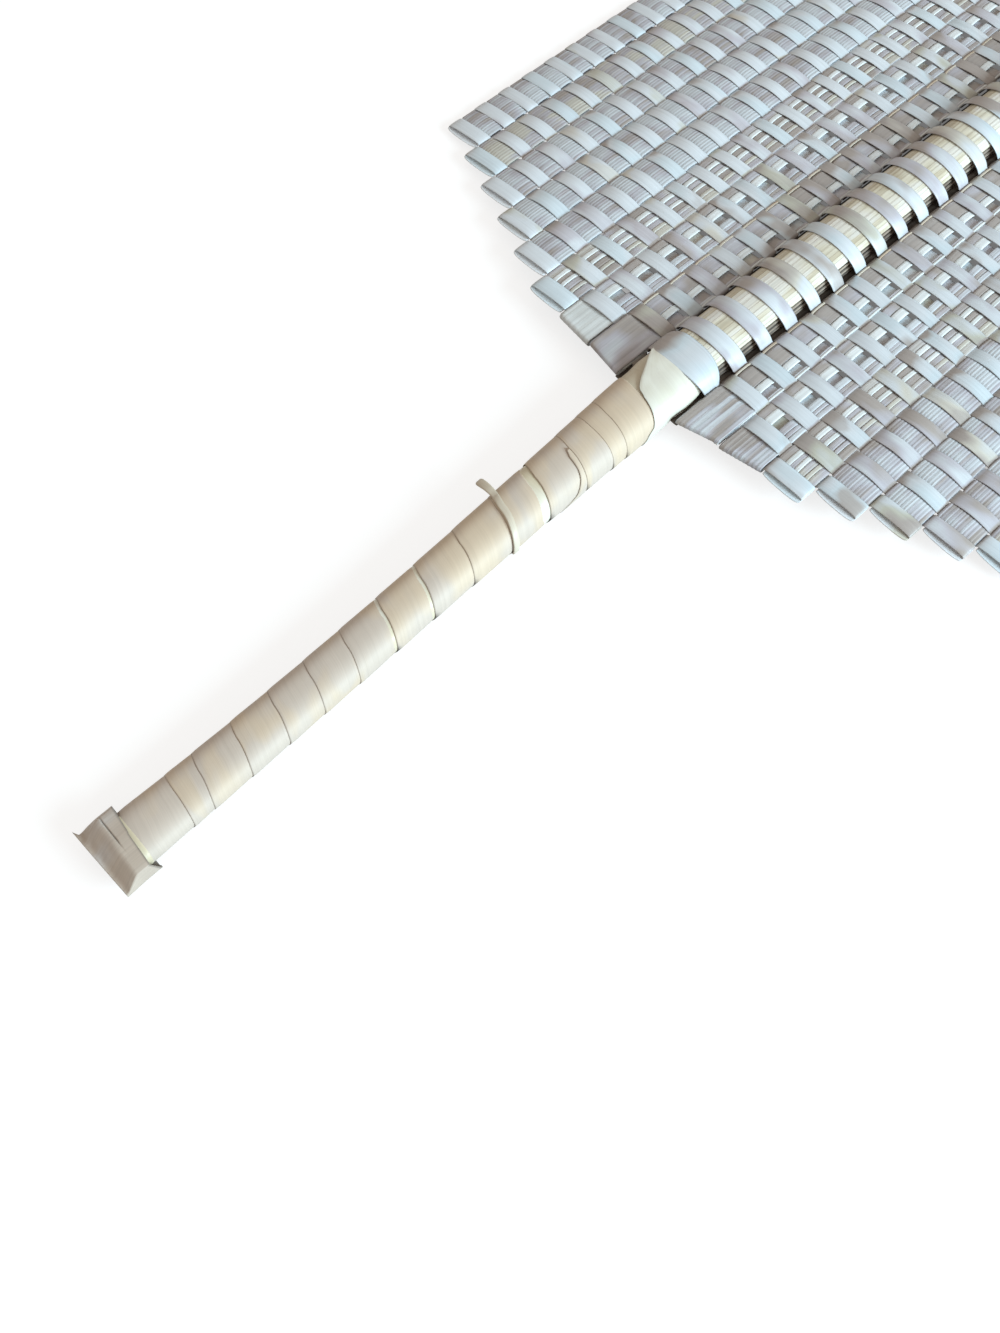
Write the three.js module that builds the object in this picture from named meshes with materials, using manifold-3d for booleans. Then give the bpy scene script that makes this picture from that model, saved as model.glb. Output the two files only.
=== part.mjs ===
// Hand fan plaited from palm leaf, lying flat with its front face up.
// The blade is a plain weave: warp columns run along the fan and flat wefts cross them, over one
// and under one. A stick bound with a leaf strip is the handle, and runs on as the blade's spine.
// Millimetres, +Y from the handle to the tip, +Z up. All shapes are drawn from the neck, where the
// handle meets the blade, and from the blade's middle plane. The group at the end then sets the
// fan on its resting plane, with the middle of its outline over the origin.

import * as THREE from 'three';
import { mergeVertices } from 'three/addons/utils/BufferGeometryUtils.js';
import Module from 'manifold-3d';

const wasm = await Module();
wasm.setup();

// Space left between two pieces that touch
const CLEARANCE = 0.3;

// Warp columns, counted outward from the spine on both sides
const COLUMNS_EACH_SIDE = 8;
const COLUMN_PITCH = 12.2;
const COLUMN_GAP = 2.4;
const COLUMN_THICKNESS = 1.0;
const SPINE_TO_COLUMN = 3.5;
const OPEN_COLUMNS = 3;
const SLIVERS = 3;
const SLIT_WIDTH = 1.6;
const SLIT_END = 3.0;
const END_RECESS = 0.6;

// Hems, where a column is folded back over the last weft
const HEM_THICKNESS = 1.0;
const HEM_START = -0.8;
const HEM_STEP = 1.4;
const FLAP_THICKNESS = 0.5;
const FLAP_DROP = 1.8;

// Wefts, counted upward from the neck
const WEFT_THICKNESS = 0.5;
const FIRST_ROW_HEIGHT = 6.5;
const ROW_PITCH = 4.2;
const ROW_PITCH_EXTRA = 1.4;
const ROWS_TO_EASE = 7;
const ROW_GAP = 0.45;
const SHOULDER_OVERHANG = 0.2;
const FOLD_BULGE = 1.0;
const STRAP_SAG = 1.5;
const FIRST_STRAP_WIDTH = 7.8;
const FIRST_STRAP_RISE = 1.4;

// Columns on each side that a weft reaches: single wefts climb like a stair, one column a row, and
// above them each weft is a hairpin of two rows, folded round its last column
const FIRST_ROW_COLUMNS = 3;
const SINGLE_ROWS = 6;
const PAIR_COLUMNS = [8, 8, 8, 8, 8, 8, 8, 8, 8, 8, 8, 8, 7, 7, 6, 6, 5, 4, 3, 2];

// Stick, half sizes of its rounded section from the butt to the tip
const HANDLE_LENGTH = 173.0;
const WAIST_TO_NECK = 105.0;
const STICK_BUTT_HALF_WIDTH = 5.4;
const STICK_WAIST_HALF_WIDTH = 4.7;
const STICK_NECK_HALF_WIDTH = 7.1;
const SPINE_HALF_WIDTH = 7.6;
const TIP_HALF_WIDTH = 6.4;
const STICK_BUTT_HALF_THICKNESS = 1.9;
const STICK_NECK_HALF_THICKNESS = 4.3;
const SPINE_HALF_THICKNESS = 5.0;
const NECK_LENGTH = 3.5;
const TIP_OVERHANG = 2.5;
const HANDLE_SWEEP = 5.2;
const SWEEP_POWER = 1.3;
const HANDLE_SECTIONS = 14;
const SPINE_SECTIONS = 5;

// Leaf strips along the front and the back of the stick
const SPINE_LEAF_THICKNESS = 0.6;

// Leaf strip wound round the handle
const WRAP_THICKNESS = 0.6;
const WRAP_TURNS = 14;
const WRAP_DRIFT = 2.6;
const WRAP_SWAY = 1.5;
const WRAP_GAP = 0.6;
const WRAP_TO_NECK = 8.3;
const WRAP_TO_BUTT = 3.1;
const WRAP_LEAD_IN = 0.4;
const WRAP_STEPS = 24;

// Wide strip that binds the blade to the handle, and the tie round the handle
const BINDING_GAP = 0.5;
const BINDING_STRIPS = 3;
const TIE_THICKNESS = 0.6;
const TIE_WIDTH = 1.8;
const TIE_TO_NECK = 51.0;
const TIE_TIP = 4.0;

// Leaf folded over the butt
const CAP_LENGTH = 10.0;
const CAP_POCKET = 4.5;
const CAP_SIDE_WALL = 1.2;
const CAP_FACE_WALL = 0.7;
const CAP_END_HALF_WIDTH = 9.4;
const CAP_END_HALF_THICKNESS = 1.4;

// Section of the stick: a rounded rectangle, flat across its front and back
const SECTION_POWER = 2.6;
const CREST_ANGLE = 70;
const SHOULDER_ANGLE = 45;
const FLANK_ANGLE = 20;
const LEAF_EDGE_ANGLE = 44;
const QUARTER_TURN = 90;
const HALF_TURN = 180;
const FULL_TURN = 360;

// Colours of dried palm leaf
const CREAM = 0xe6dcc0;
const BEIGE = 0xcdbfa6;
const BROWN = 0x6d5642;
const PALE_GREY = 0xcfccd0;
const BLUE_GREY = 0xb9bec4;
const LILAC_GREY = 0xbfb6bd;
const OLIVE_GREY = 0xb9b7a3;
const TAUPE = 0xb3a8a4;
const WEFT_COLOURS = [LILAC_GREY, PALE_GREY, BLUE_GREY, PALE_GREY, OLIVE_GREY, BEIGE, PALE_GREY];
const COLUMN_COLOURS = [TAUPE, PALE_GREY, BEIGE, PALE_GREY];

// Sizes that follow from the ones above
const columnWidth = COLUMN_PITCH - COLUMN_GAP;
const firstColumn = SPINE_HALF_WIDTH + SPINE_TO_COLUMN + columnWidth / 2;
const weftLevel = COLUMN_THICKNESS / 2 + CLEARANCE + WEFT_THICKNESS / 2;
const flapLevel = weftLevel + WEFT_THICKNESS / 2 + CLEARANCE;
const shoulder = columnWidth / 2 + SHOULDER_OVERHANG;
const leafOuter = CLEARANCE + SPINE_LEAF_THICKNESS;
const wrapInner = leafOuter + CLEARANCE;
const wrapOuter = wrapInner + WRAP_THICKNESS;
const strapOutset = leafOuter + CLEARANCE + WEFT_THICKNESS / 2;
const wrapPitch = (HANDLE_LENGTH - WRAP_TO_NECK - WRAP_TO_BUTT) / WRAP_TURNS;
const rowCount = SINGLE_ROWS + 2 * PAIR_COLUMNS.length;
const stickEnd = CAP_LENGTH - HANDLE_LENGTH - CAP_POCKET + CLEARANCE;
const tip = rowHeight(rowCount - 1) + rowWidth(rowCount - 1) / 2 + TIP_OVERHANG;
const topHem = columnSpan(1).top;
const outlineTop = Math.max(tip, topHem);
const strapCrest = (SPINE_HALF_THICKNESS + strapOutset) * squareness(CREST_ANGLE);
const bladeHeight = strapCrest + WEFT_THICKNESS / 2;
const buttHeight = STICK_BUTT_HALF_THICKNESS + wrapOuter + CLEARANCE + CAP_FACE_WALL;
const bladeHalfWidth = columnPlace(COLUMNS_EACH_SIDE) + shoulder + FOLD_BULGE;
const edgeDroop = bladeHeight - weftLevel - WEFT_THICKNESS / 2 - CLEARANCE;

// Share of its half size that a section of the stick reaches at an angle from its flank
function squareness(angle) {
  const sine = Math.sin(THREE.MathUtils.degToRad(angle));
  return Math.sign(sine) * Math.abs(sine) ** (2 / SECTION_POWER);
}

// Distance along the fan from one row to the next, wider near the neck
function rowPitch(row) {
  return ROW_PITCH + ROW_PITCH_EXTRA * Math.exp(-row / ROWS_TO_EASE);
}

function rowHeight(row) {
  let height = FIRST_ROW_HEIGHT;
  for (let below = 0; below < row; below += 1) height += rowPitch(below);
  return height;
}

function rowWidth(row) {
  return rowPitch(row) - ROW_GAP;
}

// Columns on each side that a row crosses
function rowReach(row) {
  if (row < SINGLE_ROWS) return FIRST_ROW_COLUMNS + row;
  return PAIR_COLUMNS[Math.floor((row - SINGLE_ROWS) / 2)];
}

// Plain weave: a row lies in front of every other column, and the next row in front of the rest
function liesInFront(row, column) {
  return (row + column) % 2 !== 0;
}

// Middle of a column; negative numbers are on the left
function columnPlace(column) {
  return Math.sign(column) * (firstColumn + (Math.abs(column) - 1) * COLUMN_PITCH);
}

// Rows that cross a column, and the height of its two ends
function columnSpan(column) {
  const rows = [...Array(rowCount).keys()].filter((row) => rowReach(row) >= column);
  const first = rows[0];
  const last = rows[rows.length - 1];
  const inFold = rowHeight(first) - rowWidth(first) / 2 + END_RECESS;
  const hemmed = column < FIRST_ROW_COLUMNS;
  const bottom = hemmed ? HEM_START + (column - 1) * HEM_STEP : inFold;
  const top = rowHeight(last) + rowWidth(last) / 2 + CLEARANCE + HEM_THICKNESS;
  return { first, last, hemmed, bottom, top };
}

// Half width of the stick: drawn in at the waist of the handle, widest in the blade
function stickHalfWidth(y) {
  if (y < -WAIST_TO_NECK) {
    const share = (-WAIST_TO_NECK - y) / (HANDLE_LENGTH - WAIST_TO_NECK);
    return THREE.MathUtils.lerp(STICK_WAIST_HALF_WIDTH, STICK_BUTT_HALF_WIDTH, share ** 2);
  }
  if (y < 0) {
    const share = 1 + y / WAIST_TO_NECK;
    return THREE.MathUtils.lerp(STICK_WAIST_HALF_WIDTH, STICK_NECK_HALF_WIDTH, share ** 2);
  }
  if (y < NECK_LENGTH) {
    return THREE.MathUtils.lerp(STICK_NECK_HALF_WIDTH, SPINE_HALF_WIDTH, y / NECK_LENGTH);
  }
  const share = (y - NECK_LENGTH) / (tip - NECK_LENGTH);
  return THREE.MathUtils.lerp(SPINE_HALF_WIDTH, TIP_HALF_WIDTH, share ** 2);
}

function stickHalfThickness(y) {
  if (y < 0) {
    const share = 1 + y / HANDLE_LENGTH;
    return THREE.MathUtils.lerp(STICK_BUTT_HALF_THICKNESS, STICK_NECK_HALF_THICKNESS, share);
  }
  const share = Math.min(1, y / NECK_LENGTH);
  return THREE.MathUtils.lerp(STICK_NECK_HALF_THICKNESS, SPINE_HALF_THICKNESS, share);
}

// Point round the stick, set out from its side and its face; angle 0 is the right flank, 90 the front
function roundStick(y, angle, side, face = side) {
  const x = (stickHalfWidth(y) + side) * squareness(angle + QUARTER_TURN);
  const z = (stickHalfThickness(y) + face) * squareness(angle);
  return new THREE.Vector3(x, y, z);
}

// The handle swings gently to the right and sinks towards the butt, and the blade's edges droop
function settle(point) {
  const along = THREE.MathUtils.clamp(-point.y / HANDLE_LENGTH, 0, 1);
  const swing = Math.sin(along * Math.PI / 2);
  const outward = point.x / bladeHalfWidth;
  point.z -= edgeDroop * outward ** 2 + (bladeHeight - buttHeight) * along;
  point.x += HANDLE_SWEEP * swing ** SWEEP_POWER;
  return point;
}

// Mesh of a closed solid from its points and its triangles, turned outward if need be
function closedMesh(name, colour, points, triangles, roughness) {
  const corner = (index) => points[index];
  const volume = triangles.reduce((sum, [a, b, c]) => {
    const cross = new THREE.Vector3().crossVectors(corner(b), corner(c));
    return sum + corner(a).dot(cross);
  }, 0);
  const facing = volume > 0 ? triangles : triangles.map(([a, b, c]) => [a, c, b]);
  const geometry = new THREE.BufferGeometry().setFromPoints(facing.flat().map(corner));
  geometry.computeVertexNormals();
  const material = new THREE.MeshStandardMaterial({ color: colour, roughness, metalness: 0 });
  const mesh = new THREE.Mesh(geometry, material);
  mesh.name = name;
  return mesh;
}

// Closed strip from stations along it, each a row of points on the outer skin and one on the inner
function stripMesh(name, colour, stations, roughness = 0.7) {
  const across = stations[0].outer.length;
  const points = stations.flatMap(({ outer, inner }) => [...outer, ...inner]).map(settle);
  const place = (station, skin, k) => (2 * station + skin) * across + k;
  const triangles = [];
  const quad = (a, b, c, d) => triangles.push([a, b, c], [a, c, d]);
  for (let s = 0; s + 1 < stations.length; s += 1) {
    for (let k = 0; k + 1 < across; k += 1) {
      quad(place(s, 0, k), place(s + 1, 0, k), place(s + 1, 0, k + 1), place(s, 0, k + 1));
      quad(place(s, 1, k + 1), place(s + 1, 1, k + 1), place(s + 1, 1, k), place(s, 1, k));
    }
    const edge = across - 1;
    quad(place(s, 1, 0), place(s + 1, 1, 0), place(s + 1, 0, 0), place(s, 0, 0));
    quad(place(s, 0, edge), place(s + 1, 0, edge), place(s + 1, 1, edge), place(s, 1, edge));
  }
  const end = stations.length - 1;
  for (let k = 0; k + 1 < across; k += 1) {
    quad(place(0, 0, k), place(0, 0, k + 1), place(0, 1, k + 1), place(0, 1, k));
    quad(place(end, 1, k), place(end, 1, k + 1), place(end, 0, k + 1), place(end, 0, k));
  }
  return closedMesh(name, colour, points, triangles, roughness);
}

// Closed solid from rings of points, its two ends filled flat
function ringMesh(name, colour, rings, roughness = 0.7) {
  const around = rings[0].length;
  const points = rings.flat().map(settle);
  const last = (rings.length - 1) * around;
  const triangles = [];
  for (let k = 0; k < around; k += 1) {
    const next = (k + 1) % around;
    for (let base = 0; base < last; base += around) {
      triangles.push([base + k, base + next, base + around + next]);
      triangles.push([base + k, base + around + next, base + around + k]);
    }
    if (k > 0 && next > 0) triangles.push([0, next, k], [last, last + k, last + next]);
  }
  return closedMesh(name, colour, points, triangles, roughness);
}

// Strip of even thickness along a middle line whose points hold x, y, z and the half width.
// Its width lies along Y. Each corner is mitred, so that the strip keeps its thickness there.
function ribbonStations(line, thickness) {
  const normal = (from, to) => new THREE.Vector2(from.z - to.z, to.x - from.x).normalize();
  return line.map((at, index) => {
    const before = line[Math.max(index - 1, 0)];
    const after = line[Math.min(index + 1, line.length - 1)];
    const first = index > 0 ? normal(before, at) : normal(at, after);
    const second = index < line.length - 1 ? normal(at, after) : first;
    const mitre = first.clone().add(second).normalize();
    mitre.multiplyScalar(thickness / 2 / mitre.dot(first));
    const row = (side) => [-at.half, at.half].map((offset) => (
      new THREE.Vector3(at.x + side * mitre.x, at.y + offset, at.z + side * mitre.y)));
    return { outer: row(1), inner: row(-1) };
  });
}

// Middle line of one row from its left end to its right end
function rowLine(row) {
  const y = rowHeight(row);
  const half = rowWidth(row) / 2;
  const reach = rowReach(row);
  const line = [];
  for (let column = -reach; column <= reach; column += 1) {
    const side = liesInFront(row, column) ? 1 : -1;
    if (column === 0) {
      line.push(...strapLine(row, side, y, half));
      continue;
    }
    const x = columnPlace(column);
    line.push({ x: x - shoulder, y, z: side * weftLevel, half });
    line.push({ x: x + shoulder, y, z: side * weftLevel, half });
  }
  return line;
}

// Part of a row that bends over the spine, in front or behind, a little nearer to the neck than on
// the columns; the lowest strap in front is broad
function strapLine(row, side, y, half) {
  const broad = row === 1;
  const footY = y - STRAP_SAG;
  const crownY = broad ? footY + FIRST_STRAP_RISE : footY;
  const crownHalf = broad ? FIRST_STRAP_WIDTH / 2 : half;
  const quarter = [FLANK_ANGLE, SHOULDER_ANGLE, CREST_ANGLE];
  const angles = [...quarter.map((angle) => HALF_TURN - angle), ...quarter.reverse()];
  return angles.map((angle) => {
    const { x, z } = roundStick(footY, side * angle, strapOutset);
    const flank = squareness(angle) < squareness(SHOULDER_ANGLE);
    return { x, z, y: flank ? footY : crownY, half: flank ? half : crownHalf };
  });
}

// Turn of a row round its last column: the outermost point of the fold
function foldPoint(from, to) {
  const x = from.x + Math.sign(from.x) * FOLD_BULGE;
  return { x, y: (from.y + to.y) / 2, z: 0, half: (from.half + to.half) / 2 };
}

// End of a row in front, folded round its last column and tucked in behind it
function tuckedEnd(from) {
  const back = { ...from, z: -from.z };
  const tail = { ...back, x: back.x - Math.sign(back.x) * (2 * shoulder) };
  return [foldPoint(from, back), back, tail];
}

function singleWeft(row) {
  const line = rowLine(row);
  const left = tuckedEnd(line[0]).reverse();
  const right = tuckedEnd(line[line.length - 1]);
  return [...left, ...line, ...right];
}

// Two rows joined by the fold round the last column on the right. The row that lies in front of
// that column is tucked round it on the left, and the other one ends behind it there.
function hairpinWeft(row) {
  const frontRow = liesInFront(row, rowReach(row)) ? row : row + 1;
  const front = rowLine(frontRow).reverse();
  const back = rowLine(2 * row + 1 - frontRow);
  const turn = foldPoint(back[back.length - 1], front[0]);
  return [...back, turn, ...front, ...tuckedEnd(front[front.length - 1])];
}

// Outline of a hem in the plane along a column and through it, from the plain face round the end
// and over the flap to the other face. The flap passes over the weft nearest to the end, comes down
// to the given level and stops short of the next weft on its own face.
function hemOutline(end, inward, flapFace, nearRow, farRow, low) {
  const face = COLUMN_THICKNESS / 2;
  const high = flapLevel;
  const step = rowHeight(nearRow) + inward * (rowWidth(nearRow) / 2 + CLEARANCE);
  const landing = step + inward * FLAP_DROP;
  const flapEnd = rowHeight(farRow) - inward * (rowWidth(farRow) / 2 + CLEARANCE);
  const inner = end + inward * HEM_THICKNESS;
  const round = end + inward * HEM_THICKNESS / 2;
  return [
    [round, -face], [end, 0], [end, high], [round, high + FLAP_THICKNESS],
    [step, high + FLAP_THICKNESS], [landing, low + FLAP_THICKNESS],
    [flapEnd, low + FLAP_THICKNESS], [flapEnd, low], [landing, low], [step, high],
    [inner, high], [inner, face],
  ].map(([along, through]) => new THREE.Vector2(along, flapFace * through));
}

// Outline of a whole column seen from its side
function columnOutline(column) {
  const { first, last, hemmed, bottom, top } = columnSpan(column);
  const face = COLUMN_THICKNESS / 2;
  const lowerFace = liesInFront(first, column) ? 1 : -1;
  const upperFace = liesInFront(last, column) ? 1 : -1;
  const plain = [new THREE.Vector2(bottom, -face), new THREE.Vector2(bottom, face)];
  const onColumn = face + CLEARANCE;
  const lower = hemmed ? hemOutline(bottom, 1, lowerFace, first, first + 2, onColumn) : plain;
  const upper = hemOutline(top, -1, upperFace, last, last - 2, flapLevel);
  if (hemmed && lowerFace < 0) lower.reverse();
  if (upperFace > 0) upper.reverse();
  return [...lower, ...upper];
}

// Solid for cutting, from a closed geometry
function toSolid(geometry) {
  const bare = geometry.clone();
  bare.deleteAttribute('normal');
  bare.deleteAttribute('uv');
  const merged = mergeVertices(bare);
  const vertProperties = new Float32Array(merged.attributes.position.array);
  const triVerts = new Uint32Array(merged.index.array);
  return new wasm.Manifold(new wasm.Mesh({ numProp: 3, vertProperties, triVerts }));
}

// Warp column: one leaf, hemmed at its ends. Near the spine it is slit into slivers that stand apart.
function columnMesh(column, left) {
  const { first, last, hemmed, bottom } = columnSpan(column);
  const outline = new THREE.ExtrudeGeometry(
    new THREE.Shape(columnOutline(column)),
    { depth: columnWidth, bevelEnabled: false },
  );
  const toFan = new THREE.Matrix4().makeBasis(
    new THREE.Vector3(0, 1, 0),
    new THREE.Vector3(0, 0, 1),
    new THREE.Vector3(1, 0, 0),
  );
  outline.applyMatrix4(toFan).translate(-columnWidth / 2, 0, 0);
  let solid = toSolid(outline);
  if (column <= OPEN_COLUMNS) {
    const from = (hemmed ? rowHeight(first + 2) - rowWidth(first + 2) / 2 : bottom) + SLIT_END;
    const to = rowHeight(last - 2) - SLIT_END;
    const sliver = (columnWidth - (SLIVERS - 1) * SLIT_WIDTH) / SLIVERS;
    for (let slit = 1; slit < SLIVERS; slit += 1) {
      const x = slit * (sliver + SLIT_WIDTH) - SLIT_WIDTH / 2 - columnWidth / 2;
      const opening = new THREE.BoxGeometry(SLIT_WIDTH, to - from, 2 * COLUMN_THICKNESS);
      solid = solid.subtract(toSolid(opening.translate(x, (from + to) / 2, 0)));
    }
  }
  const { vertProperties, triVerts } = solid.getMesh();
  const place = columnPlace(left ? -column : column);
  const points = [];
  for (let at = 0; at < vertProperties.length; at += 3) {
    const point = new THREE.Vector3().fromArray(vertProperties, at);
    point.x += place;
    points.push(settle(point));
  }
  const triangles = [];
  for (let at = 0; at < triVerts.length; at += 3) triangles.push([...triVerts.slice(at, at + 3)]);
  const colour = COLUMN_COLOURS[(column - 1) % COLUMN_COLOURS.length];
  const name = `column_${left ? 'left' : 'right'}_${column}`;
  return closedMesh(name, colour, points, triangles, 0.75);
}

// Heights at which the stick and its leaves have a section: close where they taper or bend
function stickHeights() {
  const share = (count) => Array.from({ length: count }, (_, index) => (index + 1) / count);
  const handle = share(HANDLE_SECTIONS).reverse().map((part) => stickEnd * part);
  const blade = [0, NECK_LENGTH];
  const spine = share(SPINE_SECTIONS).map((part) => NECK_LENGTH + (tip - NECK_LENGTH) * part);
  return [...handle, ...blade, ...spine];
}

function stickMesh() {
  const quarter = [FLANK_ANGLE, SHOULDER_ANGLE, CREST_ANGLE];
  const front = [0, ...quarter, ...quarter.map((angle) => HALF_TURN - angle).reverse()];
  const angles = [...front, ...front.map((angle) => angle + HALF_TURN)];
  const rings = stickHeights().map((y) => angles.map((angle) => roundStick(y, angle, 0)));
  return ringMesh('spine_stick', BROWN, rings, 0.8);
}

// Cream leaf laid along one face of the stick, from the butt to the tip
function spineLeaf(name, face) {
  const half = (LEAF_EDGE_ANGLE + CREST_ANGLE) / 2;
  const quarter = [LEAF_EDGE_ANGLE, half, CREST_ANGLE];
  const angles = [...quarter, ...quarter.map((angle) => HALF_TURN - angle).reverse()];
  const stations = stickHeights().map((y) => ({
    outer: angles.map((angle) => roundStick(y, face * angle, leafOuter)),
    inner: angles.map((angle) => roundStick(y, face * angle, CLEARANCE)),
  }));
  return stripMesh(name, CREAM, stations);
}

// Height of the winding's lower edge after a number of turns from the butt; it crosses the right
// flank at whole turns, and the turns lie closer near both ends of the handle, most near the neck
function wrapEdge(turns) {
  const left = WRAP_TURNS - turns;
  const phase = Math.PI * left / WRAP_TURNS;
  const shift = WRAP_SWAY * Math.sin(2 * phase) - WRAP_DRIFT * Math.sin(phase);
  return shift - WRAP_TO_NECK - wrapPitch * left;
}

// Cross section of a strip on the handle: straight across from one height to another
function handleStation(angle, heights, outset, thickness) {
  return {
    outer: heights.map((y) => roundStick(y, angle, outset + thickness)),
    inner: heights.map((y) => roundStick(y, angle, outset)),
  };
}

// Leaf strip wound round the handle, from inside the cap up to the left flank at the neck. It
// starts cut straight along the end of the stick, and its last stretch runs square to the stick.
function wrapStations() {
  const finish = WRAP_TURNS - 0.5;
  const straight = finish - 1 / WRAP_STEPS;
  const steps = Math.round((finish + WRAP_LEAD_IN) * WRAP_STEPS);
  return Array.from({ length: steps + 1 }, (_, step) => {
    const turns = finish - (steps - step) / WRAP_STEPS;
    const at = turns < straight ? turns : finish;
    const heights = [Math.max(stickEnd, wrapEdge(at)), wrapEdge(at + 1) - WRAP_GAP];
    return handleStation(turns * FULL_TURN, heights, wrapInner, WRAP_THICKNESS);
  });
}

// Least distance between two turns of the winding, over all its corner points
function leastTurnGap(stations) {
  let least = Infinity;
  stations.forEach((station, index) => {
    for (let far = index + WRAP_STEPS / 2; far < stations.length; far += 1) {
      if (far - index > 2 * WRAP_STEPS) break;
      const theirs = [...stations[far].outer, ...stations[far].inner];
      [...station.outer, ...station.inner].forEach((mine) => {
        theirs.forEach((point) => {
          least = Math.min(least, mine.distanceTo(point));
        });
      });
    }
  });
  return least;
}

// Wide leaf strip that locks the blade to the handle. It starts behind the left flank, passes
// behind the neck, and climbs across the front to end under the lowest strap.
function bindingStations() {
  const start = WRAP_TURNS - 0.5 + 1 / WRAP_STEPS;
  const finish = WRAP_TURNS + 0.5;
  const steps = WRAP_STEPS;
  const lowStrap = rowHeight(1) - STRAP_SAG - rowWidth(1) / 2 - CLEARANCE;
  const backRow = rowHeight(0) - STRAP_SAG - rowWidth(0) / 2 - CLEARANCE;
  return Array.from({ length: steps }, (_, step) => {
    const turns = start + (finish - start) * step / (steps - 1);
    const climb = Math.max(0, turns - WRAP_TURNS) * 2;
    const front = turns > WRAP_TURNS;
    const seam = wrapEdge(Math.min(turns, WRAP_TURNS));
    const lower = seam + (lowStrap - HEM_THICKNESS - seam) * climb ** 1.5;
    const upper = front ? lowStrap : Math.min(backRow, wrapEdge(turns + 1) - BINDING_GAP);
    const heights = Array.from({ length: BINDING_STRIPS + 1 }, (__, k) => (
      THREE.MathUtils.lerp(lower, upper, k / BINDING_STRIPS)));
    return handleStation(turns * FULL_TURN, heights, wrapInner, WRAP_THICKNESS);
  });
}

// Narrow tie round the handle, slanted like the turns, its free end standing out on the left
function tieStations() {
  const outset = wrapOuter + CLEARANCE;
  const steps = WRAP_STEPS - 2;
  const ring = Array.from({ length: steps + 1 }, (_, step) => {
    const angle = HALF_TURN - FULL_TURN * step / WRAP_STEPS;
    const slant = wrapPitch / 4 * Math.cos(THREE.MathUtils.degToRad(angle));
    const middle = -TIE_TO_NECK - slant;
    const heights = [middle - TIE_WIDTH / 2, middle + TIE_WIDTH / 2];
    return handleStation(angle, heights, outset, TIE_THICKNESS);
  });
  const out = (point) => new THREE.Vector3(point.x - TIE_TIP, point.y, point.z);
  const free = { outer: ring[0].outer.map(out), inner: ring[0].inner.map(out) };
  free.inner.forEach((point) => {
    point.z -= TIE_THICKNESS;
  });
  return [free, ...ring.slice(1)];
}

// Leaf folded over the butt: a pocket for the end of the wound stick, pinched flat beyond it
function capMesh() {
  const rim = CAP_LENGTH - HANDLE_LENGTH;
  const floor = rim - CAP_POCKET;
  const pinch = floor - CAP_SIDE_WALL;
  const end = -HANDLE_LENGTH;
  const inner = wrapOuter + CLEARANCE;
  const angles = Array.from({ length: WRAP_STEPS }, (_, step) => step * FULL_TURN / WRAP_STEPS);
  const ring = (y, side, face) => angles.map((angle) => roundStick(y, angle, side, face));
  const endSide = CAP_END_HALF_WIDTH - stickHalfWidth(end);
  const endFace = CAP_END_HALF_THICKNESS - stickHalfThickness(end);
  return ringMesh('butt_cap', BEIGE, [
    ring(floor, inner, inner),
    ring(rim, inner, inner),
    ring(rim, inner + CAP_SIDE_WALL, inner + CAP_FACE_WALL),
    ring(pinch, inner + CAP_SIDE_WALL, inner + CAP_FACE_WALL),
    ring(end, endSide, endFace),
  ]);
}

const fan = new THREE.Group();
fan.add(stickMesh());
fan.add(spineLeaf('spine_leaf_front', 1));
fan.add(spineLeaf('spine_leaf_back', -1));

for (let column = 1; column <= COLUMNS_EACH_SIDE; column += 1) {
  fan.add(columnMesh(column, true));
  fan.add(columnMesh(column, false));
}

for (let weft = 0; weft < SINGLE_ROWS + PAIR_COLUMNS.length; weft += 1) {
  const single = weft < SINGLE_ROWS;
  const row = single ? weft : 2 * weft - SINGLE_ROWS;
  const line = single ? singleWeft(row) : hairpinWeft(row);
  const colour = WEFT_COLOURS[weft % WEFT_COLOURS.length];
  const name = `weft_${String(weft + 1).padStart(2, '0')}`;
  fan.add(stripMesh(name, colour, ribbonStations(line, WEFT_THICKNESS)));
}

const wrap = wrapStations();
console.log(`handle_wrap: least gap between turns ${leastTurnGap(wrap).toFixed(2)} mm`);
fan.add(stripMesh('handle_wrap', CREAM, wrap));
fan.add(stripMesh('neck_binding', CREAM, bindingStations()));
fan.add(stripMesh('handle_tie', BEIGE, tieStations()));
fan.add(capMesh());

fan.position.set(0, (HANDLE_LENGTH - outlineTop) / 2, bladeHeight);

const model = new THREE.Group();
model.add(fan);
export default model;
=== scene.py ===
import bpy
import numpy as np
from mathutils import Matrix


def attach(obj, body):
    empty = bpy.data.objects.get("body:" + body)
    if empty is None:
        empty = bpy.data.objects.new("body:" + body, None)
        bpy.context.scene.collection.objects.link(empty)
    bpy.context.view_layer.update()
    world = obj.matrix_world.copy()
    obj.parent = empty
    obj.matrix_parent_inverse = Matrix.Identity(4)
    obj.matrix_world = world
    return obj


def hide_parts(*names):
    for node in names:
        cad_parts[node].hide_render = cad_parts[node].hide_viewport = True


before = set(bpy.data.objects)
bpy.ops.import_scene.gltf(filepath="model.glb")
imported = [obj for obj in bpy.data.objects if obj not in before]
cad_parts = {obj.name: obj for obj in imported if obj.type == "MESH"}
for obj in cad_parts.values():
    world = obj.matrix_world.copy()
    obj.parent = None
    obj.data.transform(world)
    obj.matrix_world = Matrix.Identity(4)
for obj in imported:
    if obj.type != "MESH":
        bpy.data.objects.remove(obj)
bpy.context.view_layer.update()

# Viewpoint: from the right of the handle and well above it, looking down along the fan.
camera = bpy.data.objects.new("camera", bpy.data.cameras.new("camera"))
bpy.context.collection.objects.link(camera)
camera.location = (0.1390, -0.2030, 0.2964)
camera.rotation_euler = np.radians((27.556, -0.085, 46.466))
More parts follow.
